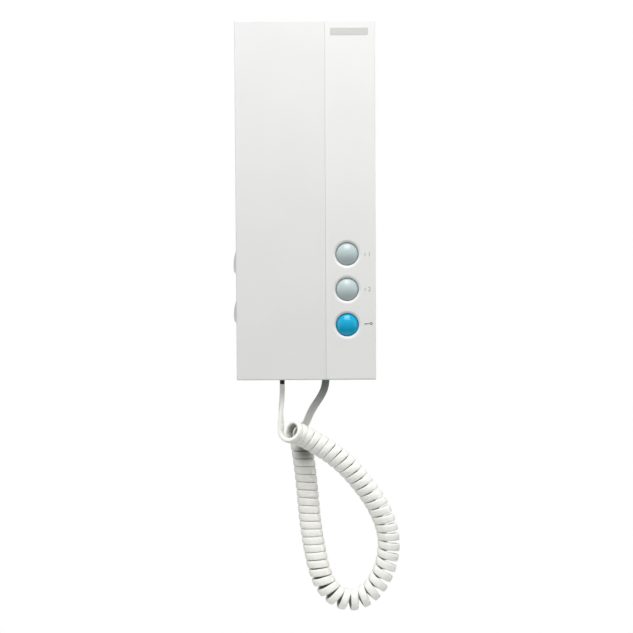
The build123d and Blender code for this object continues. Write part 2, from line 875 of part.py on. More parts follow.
os.makedirs("parts", exist_ok=True)
built = [
    rear_base,
    front_housing,
    main_board,
    button_board,
    board_header,
    housing_screw,
    terminal_block,
    terminal_screws,
    call_buzzer,
    hook_switch,
    hook_plunger,
    upper_switch,
    middle_switch,
    door_switch,
    upper_button,
    middle_button,
    door_button,
    ringer_switch,
    volume_switch,
    ringer_knob,
    volume_knob,
    base_cord_grommet,
    handset_outer_shell,
    handset_inner_shell,
    earpiece_frame,
    earpiece_diaphragm,
    earpiece_magnet,
    microphone_holder,
    microphone,
    handset_cord_boot,
    handset_cord_tail,
    curly_cord,
    base_cord_tail,
]
for piece in built:
    export_step(piece.part, f"parts/{piece.part.label}.step")
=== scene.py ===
from math import asin, atan2, cos, pi, radians, sin

import bmesh
import bpy
import numpy as np
from mathutils import Matrix, Vector


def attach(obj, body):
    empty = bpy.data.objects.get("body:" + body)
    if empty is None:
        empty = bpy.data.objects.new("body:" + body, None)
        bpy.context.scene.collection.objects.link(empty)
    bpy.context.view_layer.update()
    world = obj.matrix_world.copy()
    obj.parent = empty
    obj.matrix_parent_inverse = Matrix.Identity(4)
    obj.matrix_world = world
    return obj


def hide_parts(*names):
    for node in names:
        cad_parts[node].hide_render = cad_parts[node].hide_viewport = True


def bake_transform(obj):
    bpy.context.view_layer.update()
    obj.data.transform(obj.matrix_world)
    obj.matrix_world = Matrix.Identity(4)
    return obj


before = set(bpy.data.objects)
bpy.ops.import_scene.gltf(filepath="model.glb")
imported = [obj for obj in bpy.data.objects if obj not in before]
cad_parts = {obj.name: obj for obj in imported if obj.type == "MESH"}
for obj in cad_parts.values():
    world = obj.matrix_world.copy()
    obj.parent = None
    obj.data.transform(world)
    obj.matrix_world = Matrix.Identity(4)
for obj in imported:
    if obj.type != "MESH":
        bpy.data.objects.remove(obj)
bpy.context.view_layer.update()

mm = 0.001
scene = bpy.context.scene
scene.view_settings.view_transform = "Standard"


# Small helpers for modelling by hand, which take sizes in millimetres

cutPast = 1.0  # how far a cutter reaches past a wall
limits = {
    "onPlane": 0.002,  # a corner nearer to a plane than this is on it
    "atPoint": 0.001,
    "onCircle": 0.01,
    "level": 0.01,  # an edge that rises less than this is level
    "sharp": 0.6,  # least angle between the two faces of a bevelled edge, in radians
}
cornersOf = {
    "cup": 96,
    "floor": 96,
    "button": 72,
    "countersink": 48,
    "cordBoot": 40,
    "screw": 32,
    "soundHole": 24,
}


def deselectAll():
    for item in list(bpy.context.selected_objects):
        item.select_set(False)


def activate(item):
    deselectAll()
    item.select_set(True)
    bpy.context.view_layer.objects.active = item


def applyPlace(item):
    activate(item)
    bpy.ops.object.transform_apply(location=True, rotation=True, scale=True)


def applyModifier(item, modifier):
    activate(item)
    bpy.ops.object.modifier_apply(modifier=modifier.name)


def pick(item, kind, test):  # edit mode, with only the parts that pass the test selected
    activate(item)
    bpy.ops.object.mode_set(mode="EDIT")
    bpy.ops.mesh.select_mode(type=kind)
    bpy.ops.mesh.select_all(action="DESELECT")
    shape = bmesh.from_edit_mesh(item.data)
    for part in {"FACE": shape.faces, "EDGE": shape.edges, "VERT": shape.verts}[kind]:
        if test(part):
            part.select_set(True)
    bmesh.update_edit_mesh(item.data)


def leaveEdit():
    bpy.ops.object.mode_set(mode="OBJECT")


def addBlock(name, low, high):  # a cube primitive between two corners
    deselectAll()
    middle = [(a + b) / 2 * mm for a, b in zip(low, high)]
    bpy.ops.mesh.primitive_cube_add(size=1, location=middle)
    item = bpy.context.active_object
    item.name = name
    item.scale = [(b - a) * mm for a, b in zip(low, high)]
    applyPlace(item)
    return item


def turnUp(name, rings, kind):  # extrudes and scales a disc through rings of radius and height
    deselectAll()
    radius, height = rings[0]
    bpy.ops.mesh.primitive_circle_add(
        vertices=cornersOf[kind], radius=radius * mm, fill_type="NGON", location=(0, 0, height * mm)
    )
    item = bpy.context.active_object
    item.name = name
    applyPlace(item)
    pick(item, "FACE", lambda face: True)
    for (oldRadius, oldHeight), (radius, height) in zip(rings, rings[1:]):
        rise = (height - oldHeight) * mm
        bpy.ops.mesh.extrude_region_move(TRANSFORM_OT_translate={"value": (0, 0, rise)})
        grow = radius / oldRadius
        bpy.ops.transform.resize(value=(grow, grow, 1))
    bpy.ops.mesh.select_all(action="SELECT")
    bpy.ops.mesh.normals_make_consistent(inside=False)
    leaveEdit()
    return item


def faceFront(item, x, z):  # stands a turned piece out from the wall, at a place on the front
    item.rotation_euler = (pi / 2, 0, 0)
    item.location = (x * mm, 0, z * mm)
    applyPlace(item)
    return item


def shift(item, x, y, z):
    item.location = (x * mm, y * mm, z * mm)
    applyPlace(item)
    return item


def copyOf(item, name):
    twin = item.copy()
    twin.data = item.data.copy()
    twin.name = name
    scene.collection.objects.link(twin)
    return twin


def combine(item, other, operation="DIFFERENCE"):
    cut = item.modifiers.new("combine", "BOOLEAN")
    cut.operation, cut.object, cut.solver = operation, other, "EXACT"
    applyModifier(item, cut)
    bpy.data.objects.remove(other)


def bevelWhere(item, test, width, segments):  # rounds the sharp edges that pass the test
    def sharp(edge):
        return len(edge.link_faces) == 2 and edge.calc_face_angle() > limits["sharp"]

    pick(item, "EDGE", lambda edge: sharp(edge) and test(edge))
    bpy.ops.mesh.bevel(offset=width * mm, offset_type="OFFSET", segments=segments, affect="EDGES")
    leaveEdit()


def onPlane(part, axis, at):  # all corners of an edge or face on a plane
    return all(abs(vertex.co[axis] - at * mm) < limits["onPlane"] * mm for vertex in part.verts)


def onOutline(edge, left, right, top):  # along one of the four outer sides
    sides = ((0, left), (0, right), (2, top), (2, -top))
    return any(onPlane(edge, axis, at) for axis, at in sides)


def longerThan(edge, length):
    return edge.calc_length() > length * mm


def runsInwards(edge):  # towards the wall
    return abs(edge.verts[0].co.y - edge.verts[1].co.y) > limits["level"] * mm


def deleteFaces(item, test):
    pick(item, "FACE", test)
    bpy.ops.mesh.delete(type="FACE")
    leaveEdit()


def bisectAt(item, axis, at):
    pick(item, "FACE", lambda face: True)
    spot, normal = [0, 0, 0], [0, 0, 0]
    spot[axis], normal[axis] = at * mm, 1
    bpy.ops.mesh.bisect(plane_co=spot, plane_no=normal)
    leaveEdit()


def thicken(item, wallThickness):
    shell = item.modifiers.new("wall", "SOLIDIFY")
    shell.thickness, shell.offset = wallThickness * mm, -1
    shell.use_even_offset = True
    applyModifier(item, shell)


def smooth(item, angle=35, weighted=False):
    activate(item)
    bpy.ops.object.shade_smooth_by_angle(angle=radians(angle))
    if weighted:
        flat = item.modifiers.new("normals", "WEIGHTED_NORMAL")
        flat.keep_sharp = True
        applyModifier(item, flat)


def ease(share):  # from 0 to 1, slow at both ends
    return share * share * (3 - 2 * share)


def place(item, body, slot, material, *nodes):  # finishes a piece and hands it to the frame
    item.data.materials.clear()
    item.data.materials.append(material)
    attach(item, body)
    if nodes:
        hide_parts(*nodes)


# Camera, at the photograph's angle

cameraSettings = {
    "distance": 1.2,
    "pitch": 3.1,
    "roll": -0.295,
    "aim": (0.006505, -0.046, -0.07087),
    "frameWidth": 0.38865,
    "sensor": 36.0,
    "nearest": 0.01,
    "farthest": 20,
}


def makeCamera(s):
    data = bpy.data.cameras.new("camera")
    data.sensor_width = s["sensor"]
    data.lens = s["sensor"] * s["distance"] / s["frameWidth"]
    data.clip_start, data.clip_end = s["nearest"], s["farthest"]
    camera = bpy.data.objects.new("camera", data)
    scene.collection.objects.link(camera)
    pitch = radians(s["pitch"])
    ahead = Vector((0, cos(pitch), -sin(pitch)))
    spot = Matrix.Translation(Vector(s["aim"]) - ahead * s["distance"])
    upright = Matrix.Rotation(pi / 2 - pitch, 4, "X")
    turn = upright @ Matrix.Rotation(radians(s["roll"]), 4, "Z")
    camera.matrix_world = spot @ turn
    scene.camera = camera


makeCamera(cameraSettings)
print("camera is set")


# Materials

plastics = {
    "housingPlastic": {
        "color": (0.84, 0.845, 0.83), "roughness": 0.42, "mottle": 0.012, "grain": 0.05,
    },
    "handsetPlastic": {
        "color": (0.81, 0.815, 0.805), "roughness": 0.42, "mottle": 0.012, "grain": 0.05,
    },
    "greyButtonPlastic": {
        "color": (0.5, 0.59, 0.595), "roughness": 0.2, "mottle": 0.02, "grain": 0.01, "gloss": 0.4,
    },
    "blueButtonPlastic": {
        "color": (0.0, 0.4, 0.66), "roughness": 0.15, "mottle": 0.02, "grain": 0.005, "gloss": 0.45,
    },
    "knobPlastic": {
        "color": (0.76, 0.765, 0.755), "roughness": 0.45, "mottle": 0.02, "grain": 0.06,
    },
    "cordPlastic": {
        "color": (0.918, 0.915, 0.868), "roughness": 0.38, "mottle": 0.02, "grain": 0.02,
    },
    "darkRubber": {"color": (0.015, 0.02, 0.02), "roughness": 0.6, "mottle": 0.1, "grain": 0.08},
    "blackPlastic": {"color": (0.02, 0.02, 0.022), "roughness": 0.4, "mottle": 0.1, "grain": 0.05},
    "boardLacquer": {"color": (0.02, 0.16, 0.06), "roughness": 0.3, "mottle": 0.15, "grain": 0.05},
    "terminalPlastic": {
        "color": (0.03, 0.22, 0.1), "roughness": 0.45, "mottle": 0.05, "grain": 0.05,
    },
    "filmPlastic": {"color": (0.6, 0.58, 0.5), "roughness": 0.3, "mottle": 0.04, "grain": 0.02},
    "plateLacquer": {"color": (0.62, 0.62, 0.61), "roughness": 0.3, "mottle": 0.02, "grain": 0.02},
    "signInk": {"color": (0.2, 0.2, 0.195), "roughness": 0.5, "mottle": 0.05, "grain": 0.02},
    "paleInk": {"color": (0.4, 0.4, 0.39), "roughness": 0.5, "mottle": 0.05, "grain": 0.02},
    "steel": {
        "color": (0.6, 0.6, 0.62), "roughness": 0.3, "mottle": 0.05, "grain": 0.05, "metal": 1.0,
    },
}
moulding = {
    "ior": 1.5,
    "gloss": 0.5,
    "metal": 0.0,
    "toneScale": 30,  # slow change of tone over a moulding
    "toneDetail": 3,
    "toneStops": (0.3, 0.7),
    "smoother": 0.04,
    "rougher": 0.05,
    "grainScale": 4200,  # the fine grain of a spark-eroded mould
    "grainDetail": 2,
    "grainStrength": 4,
    "grainDepth": 0.00003,
}


def addNode(tree, kind, options=None, values=None, links=None):  # with its inputs set and linked
    node = tree.nodes.new(kind)
    for option, value in (options or {}).items():
        setattr(node, option, value)
    for socket, value in (values or {}).items():
        node.inputs[socket].default_value = value
    for socket, source in (links or {}).items():
        tree.links.new(source, node.inputs[socket])
    return node


def makePlastic(name, s):
    material = bpy.data.materials.new(name)
    material.use_nodes = True
    tree = material.node_tree
    shader = tree.nodes["Principled BSDF"]
    shader.inputs["Metallic"].default_value = s.get("metal", moulding["metal"])
    shader.inputs["IOR"].default_value = moulding["ior"]
    shader.inputs["Specular IOR Level"].default_value = s.get("gloss", moulding["gloss"])
    spot = addNode(tree, "ShaderNodeTexCoord").outputs["Object"]
    broad = addNode(
        tree, "ShaderNodeTexNoise", links={"Vector": spot},
        values={"Scale": moulding["toneScale"], "Detail": moulding["toneDetail"]},
    ).outputs["Fac"]
    tone = addNode(tree, "ShaderNodeValToRGB", links={"Fac": broad})
    for i, change in enumerate((-s["mottle"], s["mottle"])):
        stop = tone.color_ramp.elements[i]
        stop.color = (*[min(max(c * (1 + change), 0), 1) for c in s["color"]], 1)
        stop.position = moulding["toneStops"][i]
    tree.links.new(tone.outputs["Color"], shader.inputs["Base Color"])
    fine = addNode(
        tree, "ShaderNodeTexNoise", links={"Vector": spot},
        values={"Scale": moulding["grainScale"], "Detail": moulding["grainDetail"]},
    ).outputs["Fac"]
    roughness = {
        "To Min": s["roughness"] - moulding["smoother"],
        "To Max": s["roughness"] + moulding["rougher"],
    }
    shine = addNode(tree, "ShaderNodeMapRange", values=roughness, links={"Value": broad})
    tree.links.new(shine.outputs["Result"], shader.inputs["Roughness"])
    relief = {
        "Strength": s["grain"] * moulding["grainStrength"],
        "Distance": moulding["grainDepth"],
    }
    bump = addNode(tree, "ShaderNodeBump", values=relief, links={"Height": fine})
    tree.links.new(bump.outputs["Normal"], shader.inputs["Normal"])
    return material


def smoothSpan(tree, source, ends, results=(0, 1)):  # eases from one result to the other
    values = dict(zip(("From Min", "From Max", "To Min", "To Max"), (*ends, *results)))
    span = addNode(
        tree, "ShaderNodeMapRange", {"interpolation_type": "SMOOTHSTEP"}, values, {"Value": source}
    )
    return span.outputs["Result"]


def mixOver(material, share, color):  # lays a colour over the base colour, by its share
    tree = material.node_tree
    base = tree.nodes["Principled BSDF"].inputs["Base Color"]
    sources = {"Factor": share, "A": base.links[0].from_socket}
    mix = addNode(tree, "ShaderNodeMix", {"data_type": "RGBA"}, {"B": (*color, 1)}, sources)
    tree.links.new(mix.outputs["Result"], base)


def paintCurlShade(material, s):  # painted shade on the inner side of the curls, and a painted shadow where the front run crosses the rear run
    tree = material.node_tree
    inner = addNode(tree, "ShaderNodeAttribute", {"attribute_name": "inside"}).outputs["Fac"]
    within = smoothSpan(tree, inner, s["depth"], (0, s["share"]))
    here = addNode(tree, "ShaderNodeTexCoord").outputs["Object"]
    away = addNode(
        tree, "ShaderNodeVectorMath", {"operation": "DISTANCE"}, {1: s["spot"]}, {0: here}
    )
    near = smoothSpan(tree, away.outputs["Value"], s["reach"], (s["spotShare"], 0))
    most = addNode(tree, "ShaderNodeMath", {"operation": "MAXIMUM"}, links={0: within, 1: near})
    mixOver(material, most.outputs[0], s["color"])


def paintBaseShadow(material, s):  # painted shadow of the body: the cord is darker where it runs under the base and into it
    tree = material.node_tree
    spot = addNode(tree, "ShaderNodeTexCoord").outputs["Object"]
    parts = addNode(tree, "ShaderNodeSeparateXYZ", links={"Vector": spot}).outputs
    high, deep = smoothSpan(tree, parts["Z"], s["height"]), smoothSpan(tree, parts["Y"], s["depth"])
    both = addNode(tree, "ShaderNodeMath", {"operation": "MULTIPLY"}, links={0: high, 1: deep})
    mixOver(material, both.outputs[0], s["color"])


# painted shade inside the curls, and a painted shadow on the rear run just below where the front
# run passes in front of it
paintedCurlShade = {
    "depth": (0.45, 0.8),
    "share": 0.66,
    "color": (0.17, 0.19, 0.16),
    "spot": (-0.001, -0.021, -0.157),
    "reach": (0.002, 0.0098),
    "spotShare": 0.92,
}
# painted shadow on the cord under the base, darker towards the base and towards the wall
paintedBaseShadow = {"height": (-0.144, -0.112), "depth": (-0.016, -0.009), "color": (0.17, 0.215, 0.19)}
finish = {name: makePlastic(name, settings) for name, settings in plastics.items()}
paintCurlShade(finish["cordPlastic"], paintedCurlShade)
paintBaseShadow(finish["cordPlastic"], paintedBaseShadow)
print("materials are made:", len(finish))


# Cord: a flat lead from the handset, curls that loop below, and a lead into the base
# Its sizes are in millimetres, its angles in degrees and the points of its route in metres

cordSettings = {
    "width": 4.7,
    "thickness": 2.7,
    "curls": 50,
    "curlRadius": 5.55,
    "pointsPerCurl": 12,
    "firstCurlFlare": 1.8,
    "firstCurlTurns": 0.75,
    "pitchPlaces": (0, 0.12, 0.34, 0.42, 0.62, 0.7, 1),
    "pitches": (5.3, 4.85, 5.6, 6.2, 6.2, 4.85, 4.85),
    "startAngle": -9.0,
    "endAngle": 10.0,
    "lead": 3.0,
    "handsetRun": 8.0,
    "firstBaseRun": 3.5,
    "lastBaseRun": 6.2,
    "splitCurl": 27,  # where the handset's half ends and the base's half begins
    "axisStep": 0.5,
    "axisResolution": 60,
    "ringStep": 1.0,
    "curveResolution": 8,
    "mostLeadRings": 80,  # the curls begin before this ring
    "sides": 18,
    "square": 3.6,  # 2 makes an oval section, more makes it squarer
    "smoothAngle": 60,
    "leastWidth": 3.2,
    "fillOfPitch": 0.98,
    "widthBlur": 4,
    "handsetTwist": 15.0,
    "baseTwist": 80.0,
    "turnShare": 0.5,  # share of a lead over which it twists
    "shadeStart": 14,  # rings of the first curl that stay light inside
    "shadeRings": 6,
}
curlAxisPoints = [
    (-0.0102, -0.0431, -0.1414),
    (-0.0055, -0.0365, -0.1439),
    (0.005, -0.0335, -0.1498),
    (0.02, -0.0335, -0.1596),
    (0.033, -0.033, -0.1732),
    (0.0452, -0.032, -0.1908),
    (0.0514, -0.0306, -0.2086),
    (0.0504, -0.0292, -0.2246),
    (0.0458, -0.0281, -0.2366),
    (0.0398, -0.0273, -0.2452),
    (0.0314, -0.0264, -0.2504),
    (0.0216, -0.0255, -0.2502),
    (0.0134, -0.0247, -0.2444),
    (0.0084, -0.0238, -0.2354),
    (0.0048, -0.0224, -0.2204),
    (0.0019, -0.0205, -0.202),
    (0.0002, -0.0185, -0.1825),
    (-0.0014, -0.0165, -0.1665),
    (-0.0038, -0.0148, -0.1508),
    (-0.0056, -0.014, -0.1434),
]
bootEnd = (-0.015, -0.033, -0.1135)
baseExit = (0.0123, -0.0068, -0.11)
baseTailPoints = [(0.003, -0.0074, -0.1324), (0.0095, -0.007, -0.1232)]


def routeLine(points, resolution):  # the points of a NURBS route, as Blender draws it
    curve = bpy.data.curves.new("route", "CURVE")
    curve.dimensions = "3D"
    spline = curve.splines.new("NURBS")
    spline.points.add(len(points) - 1)
    for spot, point in zip(spline.points, points):
        spot.co = (*point, 1)
    spline.order_u = 3
    spline.use_endpoint_u = True
    spline.resolution_u = resolution
    holder = bpy.data.objects.new("route", curve)
    scene.collection.objects.link(holder)
    mesh = bpy.data.meshes.new_from_object(holder)
    line = np.array([vertex.co for vertex in mesh.vertices])
    bpy.data.objects.remove(holder)
    bpy.data.curves.remove(curve)
    bpy.data.meshes.remove(mesh)
    return line


def unit(v):
    return v / np.linalg.norm(v)


def squareTo(heading, v):  # the part of a direction that stands square to a heading
    return unit(v - heading * (v @ heading))


def measure(line):
    return np.concatenate([[0], np.cumsum(np.linalg.norm(np.diff(line, axis=0), axis=1))])


def lineAt(line, reach, at):
    return np.array([np.interp(at, reach, line[:, k]) for k in range(3)])


def spread(line, step):  # the same line, with its points evenly apart
    reach = measure(line)
    count = max(int(round(reach[-1] / step)), 2)
    return lineAt(line, reach, np.linspace(0, reach[-1], count + 1)).T


def lineHeadings(line):
    headings = np.gradient(line, axis=0)
    return headings / np.linalg.norm(headings, axis=1)[:, None]


def helixPoints(axisLine, s):  # control points of the curls, a left-handed helix round the axis
    reach = measure(axisLine)
    headings = lineHeadings(axisLine)
    pitches = np.interp(reach / reach[-1], s["pitchPlaces"], s["pitches"])
    turned = np.concatenate([[0], np.cumsum(np.diff(reach) / (pitches[1:] + pitches[:-1]))])
    turned *= s["curls"] / turned[-1]
    swept = 360 * s["curls"] - (s["endAngle"] - s["startAngle"])
    points = []
    for i in range(s["curls"] * s["pointsPerCurl"] + 1):
        count = i / s["pointsPerCurl"]
        at = np.interp(count, turned, reach)
        along = unit(lineAt(headings, reach, at))
        toWall = unit(np.array([0, 1, 0]) - along * along[1])
        beside = np.cross(along, toWall)
        angle = radians(s["startAngle"] - swept * count / s["curls"])
        flare = s["firstCurlFlare"] * max(1 - count / s["firstCurlTurns"], 0) ** 2
        out = (s["curlRadius"] + flare) * mm / cos(pi / s["pointsPerCurl"])
        around = toWall * cos(angle) + beside * sin(angle)
        points.append(lineAt(axisLine, reach, at) + around * out)
    return points


def carryAlong(line, out):  # keeps a direction from turning about the line
    headings = lineHeadings(line)
    outs = [squareTo(headings[0], out)]
    for heading in headings[1:]:
        outs.append(squareTo(heading, outs[-1]))
    return outs


def twistTo(line, outs, aim, turnShare):  # turns the directions step by step, until they are at aim
    headings = lineHeadings(line)
    last = squareTo(headings[-1], aim)
    side = np.cross(headings[-1], outs[-1])
    angle = atan2(last @ side, last @ outs[-1])
    if angle > pi / 2:  # a flat cord looks the same after half a turn
        angle -= pi
    if angle < -pi / 2:
        angle += pi
    turned = []
    for i, (heading, out) in enumerate(zip(headings, outs)):
        a = angle * ease(min(i / (len(line) - 1) / turnShare, 1))
        turned.append(out * cos(a) + np.cross(heading, out) * sin(a))
    return turned


def turnWidths(line, firstRing, s):  # the cord's width at each ring, less where the curls crowd
    widths = np.full(len(line), s["width"])
    turn = int(2 * pi * s["curlRadius"] / s["ringStep"])
    for i in range(firstRing, len(line)):
        for low, high in ((i + turn // 2, i + turn * 3 // 2), (i - turn * 3 // 2, i - turn // 2)):
            low, high = max(low, firstRing), min(high, len(line) - 1)
            if high - low > turn // 2:
                near = np.linalg.norm(line[low:high] - line[i], axis=1).min() / mm
                widths[i] = min(widths[i], near * s["fillOfPitch"])
    widths = np.maximum(widths, s["leastWidth"])
    blur = np.ones(2 * s["widthBlur"] + 1)
    return np.convolve(np.pad(widths, s["widthBlur"], mode="edge"), blur / len(blur), mode="valid")


def flatSection(width, s):  # the corners of one ring, a flat section with rounded sides
    spots = []
    for j in range(s["sides"]):
        a = 2 * pi * (j + 0.5) / s["sides"]
        across, up = cos(a), sin(a)
        x = abs(across) ** (2 / s["square"]) * (1 if across > 0 else -1) * width / 2 * mm
        y = abs(up) ** (2 / s["square"]) * (1 if up > 0 else -1) * s["thickness"] / 2 * mm
        spots.append((x, y))  # across the cord and out from the curls' axis
    return spots


def makeFlatTube(name, line, outs, widths, shades, s):  # flat rings on a line, shut at both ends
    rows, depths = [], []
    n = s["sides"]
    for point, heading, out, width, shade in zip(line, lineHeadings(line), outs, widths, shades):
        out = squareTo(heading, out)
        wide = np.cross(heading, out)
        for x, y in flatSection(width, s):
            rows.append(point + wide * x + out * y)
            # how far round to the inner side of a curl a corner lies: the mask of the painted shade
            # inside the curls
            depths.append((0.5 - y / (s["thickness"] * mm)) * shade)
    faces = [list(range(n))[::-1], [len(rows) - n + j for j in range(n)]]
    for i in range(len(line) - 1):
        for j in range(n):
            k = (j + 1) % n
            faces.append([i * n + j, i * n + k, (i + 1) * n + k, (i + 1) * n + j])
    mesh = bpy.data.meshes.new(name)
    mesh.from_pydata([tuple(row) for row in rows], [], faces)
    inside = mesh.attributes.new("inside", "FLOAT", "POINT")  # read by the cord's material
    inside.data.foreach_set("value", depths)
    item = bpy.data.objects.new(name, mesh)
    scene.collection.objects.link(item)
    pick(item, "FACE", lambda face: True)
    bpy.ops.mesh.normals_make_consistent(inside=False)
    leaveEdit()
    smooth(item, s["smoothAngle"])
    return item


def makeHalf(name, lead, curls, axisLine, twist, s):  # one half of the cord: its lead and its curls
    line = spread(routeLine([*lead, *curls], s["curveResolution"]), s["ringStep"] * mm)
    toCurls = np.linalg.norm(line[: s["mostLeadRings"]] - np.array(curls[0]), axis=1)
    firstRing = int(np.argmin(toCurls))
    outs = []
    for point in line[firstRing:]:
        outs.append(unit(point - axisLine[np.argmin(np.linalg.norm(axisLine - point, axis=1))]))
    leadLine = line[: firstRing + 1][::-1]
    leadOuts = carryAlong(leadLine, outs[0])
    aim = np.array([cos(radians(twist)), sin(radians(twist)), 0])
    outs = twistTo(leadLine, leadOuts, aim, s["turnShare"])[:0:-1] + outs
    widths = turnWidths(line, firstRing, s)
    shades = (np.arange(len(line)) - firstRing - s["shadeStart"]) / s["shadeRings"]
    item = makeFlatTube(name, line, outs, widths, np.clip(shades, 0, 1), s)
    item.data.materials.append(finish["cordPlastic"])
    print(name, "is", round(measure(line)[-1], 4), "m long in", len(line), "rings")
    return item, line


def makeCords(s):
    axisLine = spread(routeLine(curlAxisPoints, s["axisResolution"]), s["axisStep"] * mm)
    curls = helixPoints(axisLine, s)
    boot, entry = np.array(bootEnd), np.array(baseExit)
    down = np.array([0, 0, -mm])
    first, last = unit(curls[0] - curls[1]), unit(curls[-1] - curls[-2])
    coilStart, coilEnd = curls[0] + first * s["lead"] * mm, curls[-1] + last * s["lead"] * mm
    handsetLead = [boot, boot + down * s["handsetRun"]]
    handsetLead += [coilStart + first * s["handsetRun"] * mm, coilStart]
    baseLead = [entry, entry + down * s["lastBaseRun"]]
    baseLead += [np.array(point) for point in baseTailPoints[::-1]]
    baseLead += [coilEnd + last * s["firstBaseRun"] * mm, coilEnd]
    split = s["splitCurl"] * s["pointsPerCurl"]
    front, rear = curls[: split + 1], curls[: split - 1 : -1]
    return (
        *makeHalf("handset_side_cord", handsetLead, front, axisLine, s["handsetTwist"], s),
        *makeHalf("base_side_cord", baseLead, rear, axisLine, s["baseTwist"], s),
    )


handsetCord, handsetLine, baseCord, baseLine = makeCords(cordSettings)
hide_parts("handset_cord_tail", "curly_cord")
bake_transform(handsetCord)
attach(baseCord, "base")
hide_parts("base_cord_tail", "curly_cord")
print("cord is laid")


# Body and buttons: heights are z, and depths are measured out from the wall

bodySizes = {
    "left": -43.0,
    "right": 43.0,
    "top": 110.0,
    "rear": 11.0,
    "cradle": 20.0,
    "front": 46.0,
    "columnLeft": 12.2,
    "wall": 2.0,
    "faceRound": 0.8,
    "seamRound": 0.4,
    "partingRound": 0.35,
    "cupX": -15.4,
    "cupZ": 80.0,
    "pocketRadius": 23.25,
    "pocketFloor": 14.2,
    "pocketRound": 0.6,
    "hookZ": -49.5,
    "hookHalf": 2.8,
    "screwZ": 44.0,
    "screwSeat": 3.05,
    "screwSeatDepth": 1.0,
    "screwHole": 1.55,
    "faceEdge": 10.0,  # edges of the column's face are longer, those of its holes are shorter
    "sideEdge": 80.0,  # outer edges along the parting line are longer
}
buttonSizes = {
    "x": 25.4,
    "z": (-32.6, -54.35, -76.1),
    "dish": (
        (7.15, 3.0), (7.15, 0.85), (7.35, 0.62), (7.65, 0.41), (8.05, 0.23),
        (8.4, 0.1), (8.7, 0.02), (8.9, -0.02), (8.9, -1.0),
    ),
    "radius": 6.8,
    "edge": 44.5,
    "top": 47.7,
    "domeSteps": 16,
    "domeTip": 0.1,
    "flangeRadius": 8.0,
    "flangeBack": 42.3,
    "flangeFront": 43.6,
    "stemRadius": 1.25,
    "stemBack": 33.8,
    "smoothAngle": 50,
}


def nearSeam(edge, s):
    seam = s["columnLeft"] * mm
    return all(abs(vertex.co.x - seam) < 2 * s["seamRound"] * mm for vertex in edge.verts)


def onPocketRim(edge, s):
    if not onPlane(edge, 1, -s["cradle"]):
        return False
    for z in (s["cupZ"], -s["cupZ"]):
        middle = Vector((s["cupX"] * mm, -s["cradle"] * mm, z * mm))
        radius = (edge.verts[0].co - middle).length
        if abs(radius - s["pocketRadius"] * mm) < limits["onCircle"] * mm:
            return True
    return False


def cutPockets(item, s):  # for the cups of the handset
    rings = [(s["pocketRadius"], s["pocketFloor"]), (s["pocketRadius"], s["cradle"] + cutPast)]
    for z in (s["cupZ"], -s["cupZ"]):
        combine(item, faceFront(turnUp("cutter", rings, "cup"), s["cupX"], z))


def cutFrontHoles(item, s, b):  # for the buttons, the hook plunger and the housing screw
    dish = [(radius, s["front"] - depth) for radius, depth in b["dish"]]
    for z in b["z"]:
        combine(item, faceFront(turnUp("cutter", dish, "button"), b["x"], z))
    half, x, z = s["hookHalf"], s["cupX"], s["hookZ"]
    low = (x - half, -s["cradle"] - cutPast, z - half)
    combine(item, addBlock("cutter", low, (x + half, -s["pocketFloor"], z + half)))
    seat = s["cradle"] - s["screwSeatDepth"]
    rings = [(s["screwHole"], s["pocketFloor"]), (s["screwHole"], seat)]
    rings += [(s["screwSeat"], seat), (s["screwSeat"], s["cradle"] + cutPast)]
    combine(item, faceFront(turnUp("cutter", rings, "screw"), s["cupX"], s["screwZ"]))


def makeFrontHousing(s, b):
    low = (s["left"], -s["cradle"], -s["top"])
    item = addBlock("front_housing_shell", low, (s["right"], -s["rear"], s["top"]))
    bisectAt(item, 0, s["columnLeft"])
    seam = s["columnLeft"] * mm
    pick(item, "FACE", lambda f: onPlane(f, 1, -s["cradle"]) and f.calc_center_median().x > seam)
    rise = (0, (s["cradle"] - s["front"]) * mm, 0)
    bpy.ops.mesh.extrude_region_move(TRANSFORM_OT_translate={"value": rise})
    leaveEdit()
    cutPockets(item, s)
    deleteFaces(item, lambda f: onPlane(f, 1, -s["rear"]))
    thicken(item, s["wall"])
    cutFrontHoles(item, s, b)

    def onFace(edge):
        return onPlane(edge, 1, -s["front"])

    def beside(edge):
        return onFace(edge) and onPlane(edge, 0, s["columnLeft"])

    def outline(edge):
        return onFace(edge) and longerThan(edge, s["faceEdge"]) and not nearSeam(edge, s)

    def parting(edge):
        outer = onOutline(edge, s["left"], s["right"], s["top"])
        return outer and onPlane(edge, 1, -s["rear"]) and longerThan(edge, s["sideEdge"])

    bevelWhere(item, beside, s["seamRound"], 3)
    bevelWhere(item, outline, s["faceRound"], 4)
    bevelWhere(item, lambda e: onPocketRim(e, s), s["pocketRound"], 3)
    bevelWhere(item, parting, s["partingRound"], 2)
    smooth(item, weighted=True)
    place(item, "base", "case_plastic", finish["housingPlastic"], "front_housing")


makeFrontHousing(bodySizes, buttonSizes)
print("front housing is made")


# Rear base: a tray with ribs and a post, and holes for the wall screws and the cables

rearSizes = {
    "screwHalf": 42.0,
    "screwRadius": 2.25,
    "screwRim": 4.2,
    "sinkDepth": 1.1,
    "entry": (-14.0, 14.0, -5.0, 17.0),
    "entryRound": 1.5,
    "slotZ": (-37.9, -69.0),
    "slotDepth": 8.4,
    "slotHalf": 1.3,
    "slotHalfLength": 4.3,
    "grommetX": 12.3,
    "grommetDepth": 6.8,
    "grommetHalf": 2.95,
    "backRound": 0.9,
    "boardDepth": 5.0,
    "ribHalf": 2.5,
    "ribX": (-34.0, 35.0),
    "ribZ": (-92.5, -23.5),
    "rootDepth": 0.2,  # how far a rib or a post reaches into the wall it stands on
    "postHalf": 4.0,
    "postFront": 18.0,
    "boreDepth": 11.0,
}


